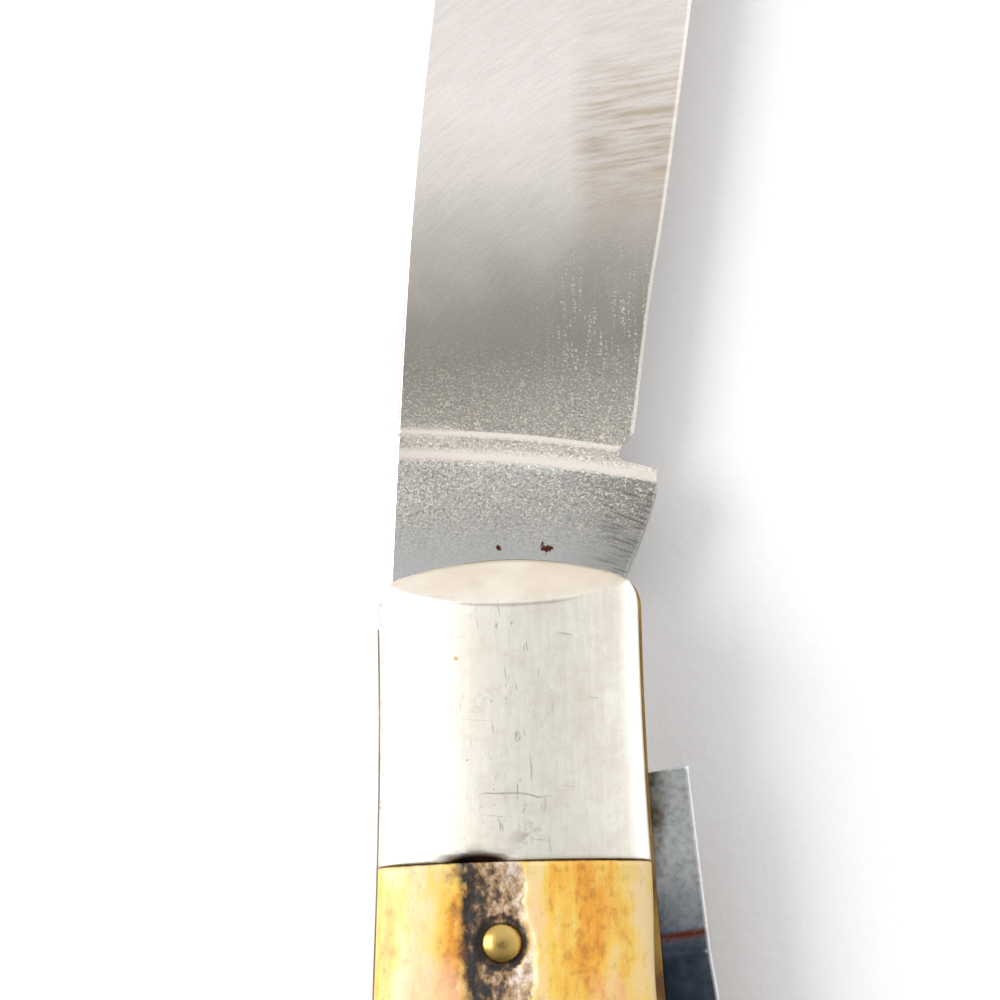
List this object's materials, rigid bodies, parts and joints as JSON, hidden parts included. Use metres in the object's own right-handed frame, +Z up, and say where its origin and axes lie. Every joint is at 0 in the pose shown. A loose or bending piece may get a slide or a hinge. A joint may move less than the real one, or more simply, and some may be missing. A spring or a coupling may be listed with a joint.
{
  "type": "whittling knife",
  "caption": "Folding jack knife for whittling, with a wide clip main blade, a pen blade, nickel silver bolsters and stag covers over brass liners.",
  "frame": {"origin": "on the axis of the blade pivot, in the plane that the knife's mark side rests on", "axes": "+Z up from the mark side to the pile side, +Y from the pivot along the open main blade, +X towards the cutting edge"},
  "size_m": [0.026, 0.1812, 0.0126],
  "materials": {
    "blade_steel": "satin glazed carbon steel, lightly patinated",
    "spring_steel": "ground back spring, brown with age",
    "nickel_silver": "polished nickel silver, a white brass, lightly scratched",
    "liner_brass": "milled sheet brass, tarnished at the edges",
    "pin_brass": "domed and polished brass",
    "stag": "natural stag antler, cream to orange with dark bark grooves"
  },
  "bodies": {
    "handle": {"mark_liner": "liner_brass", "center_liner": "liner_brass", "pile_liner": "liner_brass", "mark_bolster": "nickel_silver", "pile_bolster": "nickel_silver", "pivot_pin": "nickel_silver", "mark_cover": "stag", "pile_cover": "stag", "main_spring": "spring_steel", "pen_spring": "spring_steel", "spring_center_pin": "pin_brass", "spring_end_pin": "pin_brass", "mark_cover_pin": "pin_brass", "pile_cover_pin": "pin_brass"},
    "main_blade": {"main_blade": "blade_steel"},
    "pen_blade": {"pen_blade": "blade_steel"}
  },
  "joints": [
    {"name": "main_blade_pivot", "type": "hinge", "parent": "handle", "child": "main_blade", "pos_m": [0, 0, 0.00495], "axis": [0, 0, -1], "range_deg": [0, 171], "deforming": ["main_spring"]},
    {"name": "pen_blade_pivot", "type": "hinge", "parent": "handle", "child": "pen_blade", "pos_m": [0, 0, 0.00775], "axis": [0, 0, 1], "range_deg": [0, 171], "deforming": ["pen_spring"]}
  ]
}
